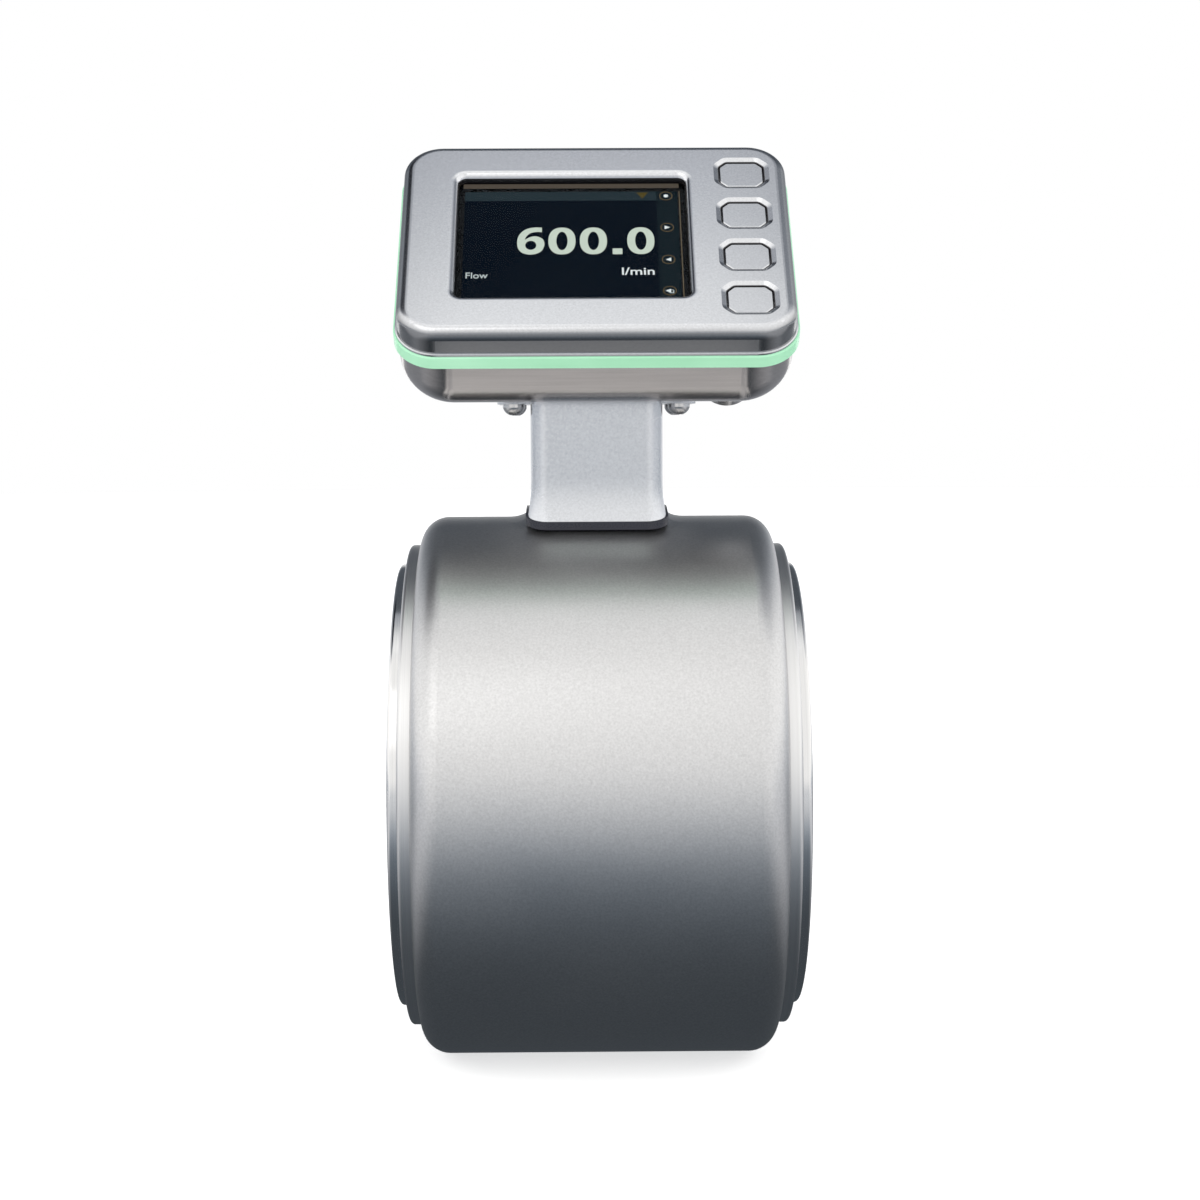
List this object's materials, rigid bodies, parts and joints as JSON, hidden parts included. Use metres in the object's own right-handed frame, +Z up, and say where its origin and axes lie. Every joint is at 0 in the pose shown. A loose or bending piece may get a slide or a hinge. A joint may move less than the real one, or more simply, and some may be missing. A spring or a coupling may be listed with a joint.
{
  "type": "electromagnetic flow meter",
  "caption": "Compact electromagnetic flow meter: stainless drum on a lined bore, stepped end rings, neck, and a tilted head with colour display, press keys and green light ring.",
  "frame": {"origin": "the middle of the flow bore, on its axis", "axes": "+X runs along the flow bore to the right as seen from the display side, +Y points to the back away from the display, +Z points up through the neck"},
  "size_m": [0.1088, 0.1486, 0.2499],
  "materials": {
    "drum_steel": "bead blasted stainless steel",
    "ring_steel": "turned and polished stainless steel",
    "tube_steel": "drawn stainless steel",
    "neck_steel": "bead blasted stainless steel",
    "back_steel": "polished stainless steel",
    "front_steel": "satin stainless steel",
    "key_steel": "satin stainless steel",
    "screw_steel": "polished stainless steel",
    "plug_steel": "turned stainless steel",
    "electrode_steel": "ground nickel alloy",
    "core_iron": "bare soft iron",
    "coil_copper": "enamelled copper winding",
    "liner_plastic": "moulded fluoropolymer",
    "seal_rubber": "black rubber",
    "dark_rubber": "near-black rubber",
    "wire_plastic": "insulated wire",
    "light_green": "translucent light guide lit green",
    "board_plastic": "circuit board",
    "frame_plastic": "black plastic",
    "window_black": "black bonding tape",
    "window_glass": "clear flat glass",
    "display_black": "black display",
    "insert_plastic": "black moulded insert",
    "pin_brass": "gold plated brass"
  },
  "bodies": {
    "meter": {"body_shell": "drum_steel", "end_ring_right": "ring_steel", "end_ring_left": "ring_steel", "end_seal_right": "seal_rubber", "end_seal_left": "seal_rubber", "measuring_tube": "tube_steel", "liner": "liner_plastic", "electrode_front": "electrode_steel", "electrode_rear": "electrode_steel", "ground_electrode": "electrode_steel", "core_upper": "core_iron", "core_lower": "core_iron", "coil_upper": "coil_copper", "coil_lower": "coil_copper", "yoke": "core_iron", "sensor_wires": "wire_plastic", "saddle_gasket": "dark_rubber", "neck": "neck_steel", "neck_screws": "screw_steel", "foot_gasket": "dark_rubber", "foot_screws": "screw_steel", "head_foot": "back_steel", "back_cover": "back_steel", "cover_screws": "screw_steel", "light_ring": "light_green", "led_board": "board_plastic", "cover_seal": "dark_rubber", "front_cover": "front_steel", "window_bed": "window_black", "window_glass": "window_glass", "display_module": "display_black", "display_frame": "frame_plastic", "frame_screws": "screw_steel", "key_mat": "dark_rubber", "key_board": "board_plastic", "main_board": "board_plastic", "power_board": "board_plastic", "connector_shell": "plug_steel", "connector_nut": "plug_steel", "connector_insert": "insert_plastic", "connector_pins": "pin_brass"},
    "key_top": {"key_top": "key_steel"},
    "key_upper": {"key_upper": "key_steel"},
    "key_lower": {"key_lower": "key_steel"},
    "key_bottom": {"key_bottom": "key_steel"}
  },
  "joints": [
    {"name": "key_top_press", "type": "slide", "parent": "meter", "child": "key_top", "axis": [0, 0.7071, -0.7071], "range_m": [0, 0.0004], "stiffness_N_per_m": 800, "springref_m": -0.001},
    {"name": "key_upper_press", "type": "slide", "parent": "meter", "child": "key_upper", "axis": [0, 0.7071, -0.7071], "range_m": [0, 0.0004], "stiffness_N_per_m": 800, "springref_m": -0.001},
    {"name": "key_lower_press", "type": "slide", "parent": "meter", "child": "key_lower", "axis": [0, 0.7071, -0.7071], "range_m": [0, 0.0004], "stiffness_N_per_m": 800, "springref_m": -0.001},
    {"name": "key_bottom_press", "type": "slide", "parent": "meter", "child": "key_bottom", "axis": [0, 0.7071, -0.7071], "range_m": [0, 0.0004], "stiffness_N_per_m": 800, "springref_m": -0.001}
  ]
}
